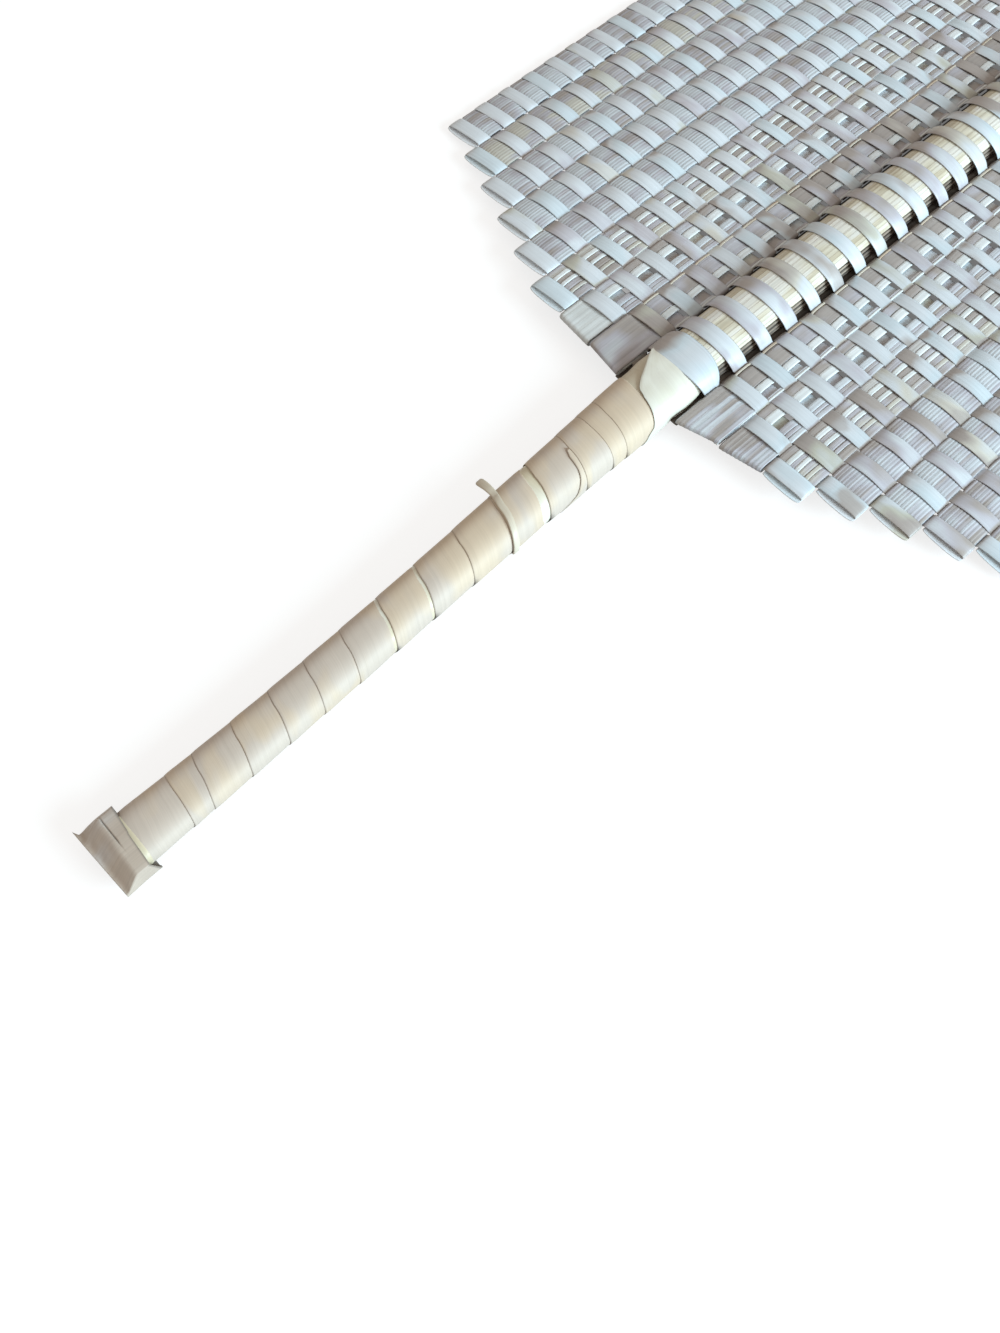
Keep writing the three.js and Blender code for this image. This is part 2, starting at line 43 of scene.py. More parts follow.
camera.data.lens = 39.24
camera.data.sensor_width = 36.0
camera.data.clip_start = 0.01
bpy.context.scene.camera = camera
bpy.context.scene.view_settings.view_transform = "Standard"

# Table: a matt white top that shows white to the camera and keeps the fan's soft shadow. In a round
# patch under the blade its colour and its glow fade to dark, a painted shadow, so that the gaps in
# the weave look dark.
TABLE_HALF = 2.5
table_mesh = bpy.data.meshes.new("table_top")
corners = TABLE_HALF * np.array([(-1, -1, 0), (1, -1, 0), (1, 1, 0), (-1, 1, 0)])
table_mesh.from_pydata(corners.tolist(), [], [(0, 1, 2, 3)])
table_top = bpy.data.objects.new("table_top", table_mesh)
bpy.context.collection.objects.link(table_top)
table_paint = bpy.data.materials.new("table_white")
table_paint.use_nodes = True
nodes, links = table_paint.node_tree.nodes, table_paint.node_tree.links
board = nodes["Principled BSDF"]
board.inputs["Roughness"].default_value = 0.9
board.inputs["Specular IOR Level"].default_value = 0.1
board.inputs["Emission Color"].default_value = (1, 1, 1, 1)
rays = nodes.new("ShaderNodeLightPath")
seen = nodes.new("ShaderNodeMath")
seen.operation = "MAXIMUM"
links.new(rays.outputs["Is Camera Ray"], seen.inputs[0])
links.new(rays.outputs["Is Glossy Ray"], seen.inputs[1])
glow = nodes.new("ShaderNodeMath")
glow.operation = "MULTIPLY"
glow.inputs[1].default_value = 0.765
links.new(seen.outputs[0], glow.inputs[0])
spot = nodes.new("ShaderNodeTexCoord")
reach = nodes.new("ShaderNodeVectorMath")
reach.operation = "DISTANCE"
reach.inputs[1].default_value = (0.0, 0.086, 0.0)
links.new(spot.outputs["Object"], reach.inputs[0])
# Painted shadow: colour and glow fade to dark within 78 to 98 mm of a point under the blade
painted_shadow_fade = nodes.new("ShaderNodeMapRange")
painted_shadow_fade.interpolation_type = "SMOOTHSTEP"
painted_shadow_fade.inputs["From Min"].default_value = 0.078
painted_shadow_fade.inputs["From Max"].default_value = 0.098
painted_shadow_fade.inputs["To Min"].default_value = 0.22
links.new(reach.outputs["Value"], painted_shadow_fade.inputs["Value"])
painted_shadow_glow = nodes.new("ShaderNodeMath")
painted_shadow_glow.operation = "MULTIPLY"
links.new(glow.outputs[0], painted_shadow_glow.inputs[0])
links.new(painted_shadow_fade.outputs[0], painted_shadow_glow.inputs[1])
links.new(painted_shadow_glow.outputs[0], board.inputs["Emission Strength"])
top_colour = nodes.new("ShaderNodeVectorMath")
top_colour.operation = "SCALE"
top_colour.inputs[0].default_value = (0.34, 0.34, 0.34)
links.new(painted_shadow_fade.outputs[0], top_colour.inputs["Scale"])
links.new(top_colour.outputs[0], board.inputs["Base Color"])
table_mesh.materials.append(table_paint)

# Light: an even, faintly warm room, white where the camera sees it, and one large cool lamp, low
# beyond the blade on the right.
room = bpy.data.worlds.new("pale_room")
room.use_nodes = True
bpy.context.scene.world = room
nodes, links = room.node_tree.nodes, room.node_tree.links
daylight = nodes["Background"]
daylight.inputs["Color"].default_value = (1.0, 0.93, 0.85, 1)
daylight.inputs["Strength"].default_value = 0.50
backdrop = nodes.new("ShaderNodeBackground")
backdrop.inputs["Color"].default_value = (1, 1, 1, 1)
rays = nodes.new("ShaderNodeLightPath")
seen = nodes.new("ShaderNodeMath")
seen.operation = "MAXIMUM"
links.new(rays.outputs["Is Camera Ray"], seen.inputs[0])
links.new(rays.outputs["Is Transmission Ray"], seen.inputs[1])
choice = nodes.new("ShaderNodeMixShader")
links.new(seen.outputs[0], choice.inputs[0])
links.new(daylight.outputs[0], choice.inputs[1])
links.new(backdrop.outputs[0], choice.inputs[2])
links.new(choice.outputs[0], nodes["World Output"].inputs["Surface"])

lamp = bpy.data.objects.new("soft_lamp", bpy.data.lights.new("soft_lamp", "AREA"))
bpy.context.collection.objects.link(lamp)
LAMP_X, LAMP_Y, LAMP_Z = 0.93, 0.26, 0.42
lamp.location = (LAMP_X, LAMP_Y, LAMP_Z)
lamp_tilt = np.arctan2(np.hypot(LAMP_X, LAMP_Y), LAMP_Z)
lamp.rotation_euler = (0, lamp_tilt, np.arctan2(LAMP_Y, LAMP_X))
lamp.data.shape = "RECTANGLE"
lamp.data.size, lamp.data.size_y = 0.45, 0.7
lamp.data.energy = 18.0
lamp.data.color = (0.67, 0.88, 1.0)

# Stick: a tight bundle of brown palm midribs. It is the core of the handle and the spine of the
# blade, and its strands show on the flanks between the straps. One more strand is laid loose along
# each flank, and the strands' cut ends show at the tip.
HANDLE_LENGTH, TIP, STICK_FOOT = 173.0, 208.4, -167.2
BLADE_HEIGHT, BUTT_HEIGHT, EDGE_DROOP, BLADE_HALF_WIDTH = 6.397, 4.7, 4.797, 107.5
HANDLE_SWEEP, TO_MIDDLE = 5.2, -18.688
# Half widths at the waist, the neck and the blade's foot, and half the thickness at the neck
WAIST, NECK, SPINE, THICK = 4.7, 7.1, 7.6, 4.3
WAIST_Y, STEP, ROUNDNESS = -105, 3.5, 2 / 2.6
STRANDS, STRAND_HALF, ROD_RADIUS = 26, 1.15, 1.1
dice = np.random.default_rng(7)


def half_width(y):
    """Half width of the stick: square law from the waist out to the butt and up to the neck, then a
    short step up to the blade, where it narrows again with the square of the distance."""
    butt = WAIST + 0.7 * ((WAIST_Y - y) / (HANDLE_LENGTH + WAIST_Y)) ** 2
    handle = WAIST + 2.4 * (1 - y / WAIST_Y) ** 2
    neck = NECK + 0.5 * y / STEP
    blade = SPINE - 1.2 * ((y - STEP) / (TIP - STEP)) ** 2
    return np.select([y < WAIST_Y, y < 0, y < STEP], [butt, handle, neck], blade)


def half_thickness(y):
    """Half thickness of the stick: a straight taper along the handle, then a short step up."""
    return np.where(y < 0, THICK + 2.4 * y / HANDLE_LENGTH, THICK + 0.7 * np.clip(y / STEP, 0, 1))


def around_stick(y, angle, outset):
    """Point round the stick's rounded section, set out from its surface: half size times the cosine
    or sine of the angle, raised to the power 2 / 2.6. Angle 0 is the right flank, 90 the front."""
    turn = np.radians(angle)
    c, s = np.cos(turn), np.sin(turn)
    x = (half_width(y) + outset) * np.sign(c) * np.abs(c) ** ROUNDNESS
    z = (half_thickness(y) + outset) * np.sign(s) * np.abs(s) ** ROUNDNESS
    return np.stack(np.broadcast_arrays(x, y, z), axis=-1)


def on_table(points):
    """Millimetres from the neck to metres on the table. The handle swings right with the sine of
    the way to the butt, to the power 1.3, and sinks evenly along it. The blade's edges droop with
    the square of their distance from the spine."""
    x, y, z = points[..., 0], points[..., 1], points[..., 2]
    along = np.clip(-y / HANDLE_LENGTH, 0, 1)
    swing = HANDLE_SWEEP * np.sin(along * np.pi / 2) ** 1.3
    drop = EDGE_DROOP * (x / BLADE_HALF_WIDTH) ** 2 + (BLADE_HEIGHT - BUTT_HEIGHT) * along
    return 0.001 * np.stack([x + swing, y + TO_MIDDLE, z - drop + BLADE_HEIGHT], axis=-1)


def shell(grid, along, across, tone, shade=1.0, finish=0):
    """Closed tube of points, rows along it and columns round it, with the distances along and
    across for the veins, a colour shift, a shade and the number of its finish."""
    rows, ring = grid.shape[:2]
    u = np.broadcast_to(np.reshape(along, (rows, 1)), (rows, ring + 1))
    v = np.broadcast_to(np.asarray(across, float), (rows, ring + 1))
    tints = [np.broadcast_to(np.asarray(value, float), (rows, ring)) for value in (tone, shade)]
    return grid, np.stack([u, v], -1), tints, finish


def leaf_piece(name, shells, finishes, nodes):
    """One mesh from closed shells: a quad between each four neighbouring points, shaded smooth, and
    both ends of every tube filled, with a crisp edge round them."""
    spots, corners, starts, totals, rounded = [], [], [], [], []
    grain, tones, shades, coats = [], [], [], []
    base = loop = 0
    for grid, flat, (tone, shade), finish in shells:
        rows, ring = grid.shape[:2]
        index = base + np.arange(rows * ring).reshape(rows, ring)
        near, far = index[:-1], index[1:]
        quads = np.stack([near, far, np.roll(far, -1, 1), np.roll(near, -1, 1)], -1).reshape(-1, 4)
        spread = np.stack([flat[:-1, :-1], flat[1:, :-1], flat[1:, 1:], flat[:-1, 1:]], -2)
        spots.append(on_table(grid).reshape(-1, 3))
        corners += [quads.ravel(), index[0], index[-1, ::-1]]
        grain += [spread.reshape(-1, 2), flat[0, :ring], flat[-1, ring - 1::-1]]
        count = len(quads)
        starts += [loop + 4 * np.arange(count), loop + 4 * count + ring * np.arange(2)]
        totals += [np.full(count, 4), np.full(2, ring)]
        rounded.append(np.arange(count + 2) < count)
        coats.append(np.full(count + 2, finish))
        tones.append(tone.ravel())
        shades.append(shade.ravel())
        base += rows * ring
        loop += 4 * count + 2 * ring
    starts, totals = np.concatenate(starts), np.concatenate(totals)
    mesh = bpy.data.meshes.new(name)
    mesh.vertices.add(base)
    mesh.vertices.foreach_set("co", np.concatenate(spots).astype(np.float32).ravel())
    mesh.loops.add(loop)
    mesh.loops.foreach_set("vertex_index", np.concatenate(corners).astype(np.int32))
    mesh.polygons.add(len(starts))
    mesh.polygons.foreach_set("loop_start", starts.astype(np.int32))
    mesh.polygons.foreach_set("loop_total", totals.astype(np.int32))
    mesh.polygons.foreach_set("material_index", np.concatenate(coats).astype(np.int32))
    mesh.polygons.foreach_set("use_smooth", np.concatenate(rounded))
    mesh.update(calc_edges=True)
    veins = mesh.uv_layers.new(name="veins")
    veins.uv.foreach_set("vector", np.concatenate(grain).astype(np.float32).ravel())
    for label, values in (("tone", tones), ("shade", shades)):
        layer = mesh.attributes.new(label, "FLOAT", "POINT")
        layer.data.foreach_set("value", np.concatenate(values).astype(np.float32))
    for finish in finishes:
        mesh.materials.append(finish)
    piece = bpy.data.objects.new(name, mesh)
    bpy.context.collection.objects.link(piece)
    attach(piece, "root")
    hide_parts(*nodes)


def leaf_finish(name, colours, veins, fineness, roughness, relief):
    """Dried leaf. Long soft patches blend the three colours, and the strip's own tone shifts the
    blend; in places that tone carries painted light and shade. Veins that run along the strip
    darken it and stand out, and its shade scales the colour: painted shade in hollows and grooves,
    and painted light where it is above one."""
    finish = bpy.data.materials.new(name)
    finish.use_nodes = True
    nodes, links = finish.node_tree.nodes, finish.node_tree.links
    leaf = nodes["Principled BSDF"]
    flow = nodes.new("ShaderNodeUVMap")
    flow.uv_map = "veins"

    def streaks(along, across, detail):
        stretch = nodes.new("ShaderNodeMapping")
        stretch.inputs["Scale"].default_value = (along, across, 1)
        links.new(flow.outputs[0], stretch.inputs["Vector"])
        noise = nodes.new("ShaderNodeTexNoise")
        noise.noise_dimensions = "2D"
        noise.inputs["Scale"].default_value = 1.0
        noise.inputs["Detail"].default_value = detail
        links.new(stretch.outputs[0], noise.inputs["Vector"])
        return noise.outputs["Fac"]

    def graded(source, low, high, start, end):
        grade = nodes.new("ShaderNodeMapRange")
        ends = {"From Min": low, "From Max": high, "To Min": start, "To Max": end}
        for socket, value in ends.items():
            grade.inputs[socket].default_value = value
        links.new(source, grade.inputs["Value"])
        return grade.outputs[0]

    def combined(operation, first, second):
        step = nodes.new("ShaderNodeMath")
        step.operation = operation
        links.new(first, step.inputs[0])
        links.new(second, step.inputs[1])
        return step.outputs[0]

    def attribute(label):
        reading = nodes.new("ShaderNodeAttribute")
        reading.attribute_name = label
        return reading.outputs["Fac"]

    patches = graded(streaks(0.055, 0.09, 2), 0.34, 0.66, 0.0, 1.0)
    broad, fine = streaks(0.02, 0.9, 3), streaks(0.05, fineness, 3)
    blend = nodes.new("ShaderNodeValToRGB")
    blend.color_ramp.elements[0].position = 0.08
    blend.color_ramp.elements[1].position = 0.92
    blend.color_ramp.elements.new(0.5)
    for stop, colour in zip(blend.color_ramp.elements, colours):
        stop.color = (*colour, 1)
    links.new(combined("ADD", patches, attribute("tone")), blend.inputs["Fac"])
    dark = combined("MULTIPLY", graded(broad, 0.35, 0.6, 1 - veins, 1.0),
                    graded(fine, 0.3, 0.62, 1 - veins, 1.0))
    tint = nodes.new("ShaderNodeVectorMath")
    tint.operation = "SCALE"
    links.new(blend.outputs["Color"], tint.inputs[0])
    links.new(combined("MULTIPLY", dark, attribute("shade")), tint.inputs["Scale"])
    links.new(tint.outputs[0], leaf.inputs["Base Color"])
    raised = nodes.new("ShaderNodeBump")
    raised.inputs["Strength"].default_value = relief
    raised.inputs["Distance"].default_value = 0.00015
    links.new(combined("ADD", broad, fine), raised.inputs["Height"])
    links.new(raised.outputs[0], leaf.inputs["Normal"])
    leaf.inputs["Roughness"].default_value = roughness
    leaf.inputs["Specular IOR Level"].default_value = 0.45
    return finish


rib_brown = leaf_finish(
    "midrib_brown", [(0.10, 0.07, 0.05), (0.26, 0.19, 0.14), (0.50, 0.40, 0.31)],
    veins=0.35, fineness=5.0, roughness=0.55, relief=0.6)
# Bundle: strands of equal width round the stick's outline. Each stands out with the size of the
# sine to the power 0.7, and it darkens towards its edges with the square of that, painted shade in
# the grooves between strands.
turn_table = np.linspace(0, 360, 1441)
rim = around_stick(np.full(1441, 100.0), turn_table, 0.0)
rim_length = np.concatenate([[0], np.cumsum(np.linalg.norm(np.diff(rim, axis=0), axis=1))])
ring_share = np.arange(STRANDS * 10) / (STRANDS * 10)
ring_angle = np.interp(ring_share * rim_length[-1], rim_length, turn_table)
strand_crest = np.abs(np.sin(np.pi * STRANDS * ring_share)) ** 0.7
strand_tone = dice.uniform(-0.5, 0.6, STRANDS)[(ring_share * STRANDS).astype(int)]
stick_y = np.linspace(STICK_FOOT, TIP - 1.5, 150)
stick_grid = around_stick(stick_y[:, None], ring_angle, 0.7 * (strand_crest - 1) + 0.1)
stick_shells = [shell(stick_grid, stick_y, np.append(ring_share, 1) * rim_length[-1],
                      strand_tone, 0.12 + 0.88 * strand_crest ** 2)]
# Loose strands: flat oval rods along the flanks, 1.3 mm further out at the neck, and from 4 to 8 mm
# above it drawn in evenly. They are darkened to 0.6 as painted shade for the deep gaps they lie in.
strand_turn = np.linspace(0, 2 * np.pi, 10, endpoint=False)
strand_y = np.linspace(-1.5, TIP - 4, 90)[:, None]
around_strand = np.arange(11) * 0.7
for flank in (-1, 1):
    strand_x = (half_width(strand_y) + STRAND_HALF + 1.3 * np.clip(2 - strand_y / 4, 0, 1)
                + STRAND_HALF * np.cos(strand_turn))
    strand = np.stack(np.broadcast_arrays(flank * strand_x, strand_y,
                                          -0.75 + 0.30 * flank * np.sin(strand_turn)), -1)
    stick_shells.append(shell(strand, strand_y, 8 + around_strand, -0.4, 0.6))
# Cut ends of the midribs at the tip: round rods in three rings, each a little longer or shorter
for rods, inset in ((15, 0.9), (9, 2.9), (3, 4.4)):
    for rod in range(rods):
        centre = around_stick(TIP, 360 * (rod + 0.4 * inset) / rods, -inset)
        rod_y = np.linspace(TIP - 3, TIP + dice.uniform(-0.9, 1.3), 3)[:, None]
        round_rod = np.stack(np.broadcast_arrays(
            centre[0] + ROD_RADIUS * np.cos(strand_turn), rod_y,
            centre[2] + ROD_RADIUS * np.sin(strand_turn)), -1)
        stick_shells.append(shell(round_rod, rod_y, 30 * rod + around_strand,
                                  dice.uniform(-0.1, 0.8), 0.9))
leaf_piece("stick", stick_shells, [rib_brown], ["spine_stick"])

# Spine leaves: cream leaf laid lengthwise along the front and the back of the stick, in narrow
# strips that overlap like shingles. The straps hold them down, and they show between the straps.
LEAF_STRIPS, LEAF_START, LEAF_ARC, LEAF_GIRTH = 13, 33, 114, 56
cream_leaf = leaf_finish(
    "cream_leaf", [(0.62, 0.54, 0.40), (0.78, 0.72, 0.58), (0.84, 0.80, 0.72)],
    veins=0.10, fineness=3.0, roughness=0.42, relief=0.3)


def spine_leaf(name, side, node):
    """Arc round one face of the stick from 33 to 147 degrees. Each strip rises 0.07 mm from one
    edge to the other with the power 1.5 of the way across, and the next one starts low again. It
    darkens by a tenth at its edges, as a bell curve. The strips on the last quarter of the arc, on
    the left flank away from the lamp, are darker as painted shade."""
    share = np.linspace(0, 1, LEAF_STRIPS * 8 + 1)
    angle = side * (LEAF_START + LEAF_ARC * share)
    strip = np.minimum((share * LEAF_STRIPS).astype(int), LEAF_STRIPS - 1)
    within = share * LEAF_STRIPS - strip
    y = np.linspace(-167.0, TIP + 0.6, 90)
    outer = around_stick(y[:, None], angle, 0.58 + 0.07 * within ** 1.5)
    inner = around_stick(y[:, None], angle[::-1], 0.15)
    grid = np.concatenate([outer, inner], axis=1)
    tone = dice.uniform(-0.25, 0.45, LEAF_STRIPS)[strip] - 0.35 * (share > 0.75)
    shade = 1 - 0.10 * np.exp(-(np.minimum(within, 1 - within) / 0.08) ** 2)
    turned = slice(None) if side > 0 else slice(None, None, -1)
    tone, shade = (np.append(value, value[::-1])[turned] for value in (tone, shade))
    girth = np.linspace(0, LEAF_GIRTH, grid.shape[1] + 1)
    leaf_piece(name, [shell(grid[:, turned], y, girth, tone, shade)], [cream_leaf],
               [node])


spine_leaf("spine_front_leaf", 1, "spine_leaf_front")
spine_leaf("spine_back_leaf", -1, "spine_leaf_back")

# Wefts: flat strips of leaf that cross the blade, over one column and under the next. They arch
# over the spine as straps, fold round the last column, and either tuck in behind it or run back as
# the next row.
COLUMN_PITCH, FIRST_COLUMN, SPINE_SPAN, SINGLE_ROWS = 12.2, 16.0, 9.7, 6
PAIR_COLUMNS = [8] * 12 + [7, 7, 6, 6, 5, 4, 3, 2]
ROWS = SINGLE_ROWS + 2 * len(PAIR_COLUMNS)
row_pitch = 4.2 + 1.4 * np.exp(-np.arange(ROWS) / 7)
row_height = 6.5 + np.concatenate([[0], np.cumsum(row_pitch[:-1])])
row_reach = np.array([3 + row for row in range(SINGLE_ROWS)]
                     + [reach for reach in PAIR_COLUMNS for _ in range(2)])
BAND_THICKNESS, BAND_GAP, STRAP_SAG, BAND_LEAN = 0.24, 0.28, 1.5, 0.12
# Height and cross crown of an arch: plain bands, straps over the spine, the last arch before a
# fold, the tail behind it, and the lowest band beside the spine, inside the first column's hem
BAND, STRAP, FOLD, TAIL = (1.10, 0.12), (6.02, 0.12), (0.72, 0.30), (0.28, 0.15)
COVERED = (0.35, 0.05)


def leaf_section(count):
    """Cross section of a strip, once round, as shares of its half width and half thickness: the
    height is the square root of one less the sixth power of the distance across."""
    across = np.sin(np.linspace(-np.pi / 2, np.pi / 2, count))
    lift = np.sqrt(np.clip(1 - np.abs(across) ** 6, 0, 1))
    return np.append(across, across[-2:0:-1]), np.append(lift, -lift[-2:0:-1])


def ribbon(path, width_way, half, thickness, crown, section, comb=0.0):
    """Grid of a strip along a path. Its section is set across the width direction and along the
    normal, which is the path's direction crossed with the width. The crown arches it, as one less
    the square of the distance across, and the comb adds ribs."""
    heading = np.gradient(path, axis=0)
    heading /= np.linalg.norm(heading, axis=1, keepdims=True)
    normal = np.cross(heading, width_way)
    normal /= np.linalg.norm(normal, axis=1, keepdims=True)
    across, lift = section
    half, thickness, crown = (np.broadcast_to(np.asarray(a, float), len(path))[:, None]
                              for a in (half, thickness, crown))
    out = thickness / 2 * lift + crown * (1 - across ** 2) + comb
    grid = (path[:, None] + (half * across)[..., None] * np.asarray(width_way)
            + out[..., None] * normal[:, None])
    length = np.append(0, np.cumsum(np.linalg.norm(np.diff(path, axis=0), axis=1)))
    spread = np.append(across, across[0]) * half.mean() + np.where(
        np.arange(len(across) + 1) > len(across) // 2, 9.0, 0.0)
    return grid, length, spread


def column_middle(column):
    """Distance from the spine to a column's middle: the first one's, and a pitch for each more."""
    return FIRST_COLUMN + (column - 1) * COLUMN_PITCH


def span_of(column):
    """Middle and half length of a row's arch over or under a column, between its two crossings."""
    if column == 0:
        return 0.0, SPINE_SPAN
    outer = column_middle(abs(column)) + COLUMN_PITCH / 2
    inner = outer - COLUMN_PITCH if abs(column) > 1 else SPINE_SPAN
    return np.sign(column) * (outer + inner) / 2, (outer - inner) / 2


def arch(row, column, side, rightward, share=(0, 1), form=None):
    """One arch from crossing to crossing. Over or under the spine it is half an ellipse. The broad
    second strap and a fold are squarer, the cosine and the sine each to the power 2 / 2.6. Over a
    column the height is the sine to the power 0.8, or 0.45 where a hem comes out from under it, and
    0.6 as much over an open column. Straps sag with the sine to the power 0.6. Front ones are up to
    12 % wider at the crown, and the broad one is nearly twice as wide. Returns x, y, z, half width,
    crown, shade and painted shade shift along the arch. The shade is painted shade towards both
    crossings, and painted light on a tail. The shift, taken off the tone, darkens the left ends,
    the arches behind near the spine and the straps' left parts and back as painted shade, and
    lightens a tail as painted light."""
    middle, half = span_of(column)
    if form is None:
        form = STRAP if column == 0 else BAND
        form = FOLD if abs(column) == row_reach[row] else form
        form = COVERED if row == 0 and abs(column) == 1 else form
    rise, crown = form
    turn = np.pi * (1 - np.linspace(*share, 32 if column == 0 else 16))
    turn = turn if rightward else np.pi - turn
    c, s = np.cos(turn), np.clip(np.sin(turn), 0, 1)
    u, lift = np.sign(c) * np.abs(c) ** ROUNDNESS, s ** ROUNDNESS
    if column == 0 and row != 1:
        u, lift = c, s
    elif form in (BAND, COVERED):
        over_hem = row + abs(column) == 3 and row > 0
        u, lift = 1 - 2 * turn / np.pi, s ** (0.45 if over_hem else 0.8)
        rise = rise * (0.6 if abs(column) <= 3 and not over_hem else 1.0)
    y = row_height[row] + (BAND_LEAN * side * u if column else -STRAP_SAG * s ** 0.6)
    width = (row_pitch[row] - BAND_GAP) / 2 * (1 + 0.12 * s * (column == 0 and side > 0))
    if row == 1 and column == 0:
        y = y + (1.3 - 0.4 * c) * s
        width = width * (1 + (0.75 - 0.15 * c) * s)
    # Painted shade: darker towards both crossings, and a shift off the tone that darkens the left
    # ends and the arches behind near the spine
    shade = 1 - 0.15 * (1 - s) ** 2
    painted_shade_shift = 0.75 * (1 - s) ** 1.5 * (u < 0) + 0.35 * (side < 0) * (abs(column) <= 3)
    # A tail is lightened, painted light on its lip
    if form == TAIL:
        y = y - 1.3 * s ** 0.5
        shade, painted_shade_shift = 1.3 + 0 * s, -0.4 + 0 * s
    # Front straps are darkened towards their left and back straps all over, as painted shade
    if column == 0:
        painted_shade_shift = 0.45 * np.clip(0.4 - u, 0, 1) if side > 0 else 0.75 + 0 * s
    return np.stack([middle + half * u, y, side * rise * lift, width, crown * s, shade, painted_shade_shift], -1)


def row_run(row, rightward):
    """One row from end to end: its arches over and under its columns, joined at the crossings. It
    is in front where the numbers of the row and the column add up to an odd number."""
    reach = row_reach[row]
    columns = range(-reach, reach + 1) if rightward else range(reach, -reach - 1, -1)
    return np.concatenate([arch(row, column, 1 if (row + column) % 2 else -1, rightward)[:-1]
                           for column in columns])


def weft_shell(parts, tone):
    """Ribbon along the joined parts, its width along the fan. Two slow sines, shifted by the
    strip's tone, sway it by up to 0.12 mm and vary its width by 3 %."""
    run = np.concatenate(parts)
    keep = np.append(True, np.linalg.norm(np.diff(run[:, :3], axis=0), axis=1) > 1e-4)
    run = run[keep]
    steps = np.arange(len(run))
    wave = np.sin(steps * 0.13 + 60 * tone) * 0.5 + np.sin(steps * 0.047 + 170 * tone) * 0.5
    path = run[:, :3] + np.stack([0 * wave, 0.12 * wave, 0 * wave], -1)
    heading = np.gradient(path, axis=0)
    sideways = np.where(np.abs(heading[:, 0]) < 1e-9, 1, heading[:, 0])
    outward = np.sign(path[:, 2]) * np.sign(sideways)
    grid, length, spread = ribbon(path, np.array([0.0, 1.0, 0.0]), run[:, 3] * (1 + 0.03 * wave),
                                  BAND_THICKNESS, outward * run[:, 4], leaf_section(8))
    # Painted light and shade: the leaf is lightened in a belt right of the spine and towards the
    # left edge, where more light falls, darkened in a belt left of the spine, in the spine's
    # shadow, and darker beyond 45 mm on the right. The shade is raised towards the left edge as
    # painted light.
    x, leftward = path[:, :1], np.clip(-path[:, :1] / 40, 0, 1)
    painted_light_belts = (0.35 * np.exp(-((x - 20) / 14) ** 2) - 0.25 * np.exp(-((x + 18) / 10) ** 2)
              + 0.40 * leftward - 0.15 * np.clip((x - 45) / 20, 0, 1))
    return shell(grid, length + 4000 * tone, spread + 310 * tone, tone + painted_light_belts - run[:, 6:7],
                 run[:, 5:6] * (1 + 0.13 * leftward))


LILAC, PALE, BLUE = (0.55, 0.53, 0.57), (0.67, 0.70, 0.73), (0.62, 0.69, 0.73)
OLIVE, BEIGE, TAUPE = (0.55, 0.54, 0.46), (0.64, 0.61, 0.54), (0.44, 0.39, 0.36)
weft_finishes = {}
for slot, finish, middle, bright, veins, roughness in (
        ("leaf_lilac_grey", "lilac_leaf", LILAC, PALE, 0.06, 0.36),
        ("leaf_pale_grey", "pale_leaf", PALE, BLUE, 0.06, 0.36),
        ("leaf_blue_grey", "blue_leaf", BLUE, PALE, 0.06, 0.36),
        ("leaf_olive_grey", "olive_leaf", OLIVE, PALE, 0.07, 0.38),
        ("leaf_beige", "beige_leaf", BEIGE, PALE, 0.07, 0.38)):
    weft_finishes[slot] = leaf_finish(finish, [TAUPE, middle, bright], veins, fineness=4.0,
                                      roughness=roughness, relief=0.25)
WEFT_ORDER = ["leaf_pale_grey", "leaf_blue_grey", "leaf_olive_grey", "leaf_lilac_grey",
              "leaf_pale_grey", "leaf_lilac_grey", "leaf_lilac_grey", "leaf_beige"]
for weft in range(SINGLE_ROWS + len(PAIR_COLUMNS)):
    tone = dice.uniform(0.0, 0.3)
    if weft < SINGLE_ROWS:  # folded round its last columns and tucked in behind them at both ends
        reach = row_reach[weft]
        parts = [arch(weft, -reach, -1, False, (0.15, 1), TAIL)[:-1], row_run(weft, True),
                 arch(weft, reach, -1, False, (0, 0.85), TAIL)]
    else:  # there and back: two rows with a bend at the right, and a tail behind at the left
        first = 2 * weft - SINGLE_ROWS
        reach = row_reach[first]
        front = first if (first + reach) % 2 else first + 1
        behind = 2 * first + 1 - front
        there, back = row_run(behind, True), row_run(front, False)
        ease = 0.5 * np.linspace(0, 1, 8) ** 2
        gap = row_height[front] - row_height[behind]
        there[-8:, 1] += gap * ease
        back[:8, 1] -= gap * ease[::-1]
        parts = [there, back, arch(front, -reach, -1, True, (0, 0.85), TAIL)]
    slot = WEFT_ORDER[weft % 8]
    leaf_piece(f"weft_strip_{weft + 1:02d}", [weft_shell(parts, tone)], [weft_finishes[slot]],
               [f"weft_{weft + 1:02d}"])

